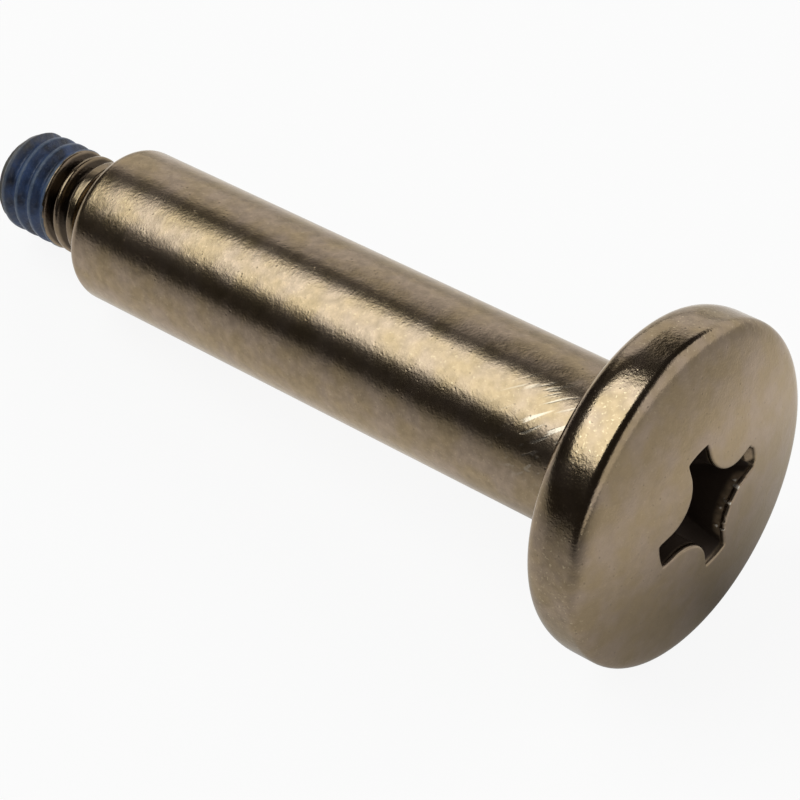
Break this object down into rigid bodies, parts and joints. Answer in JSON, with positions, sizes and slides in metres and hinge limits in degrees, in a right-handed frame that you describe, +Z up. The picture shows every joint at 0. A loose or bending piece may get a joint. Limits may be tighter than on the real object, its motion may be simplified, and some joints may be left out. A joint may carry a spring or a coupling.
{
  "type": "shoulder screw",
  "caption": "Shoulder screw with a low domed head, a cross recess, a plain ground shoulder and a short fine-pitch end thread with a coat of locking compound.",
  "frame": {"origin": "centre of the head's bearing face, on the screw's axis", "axes": "+X towards the head, +Z up, with the screw lying on a flat surface as it comes to rest, so its axis rises 7.7 degrees towards the head"},
  "size_m": [0.0328, 0.0126, 0.0127],
  "materials": {
    "plated_steel": "barrel-tumbled dark nickel plating, satin, with fine pits and light scratches",
    "locking_compound": "dried blue locking compound, matt"
  },
  "bodies": {
    "root": {"screw": "plated_steel", "thread_lock_patch": "locking_compound"}
  },
  "joints": []
}
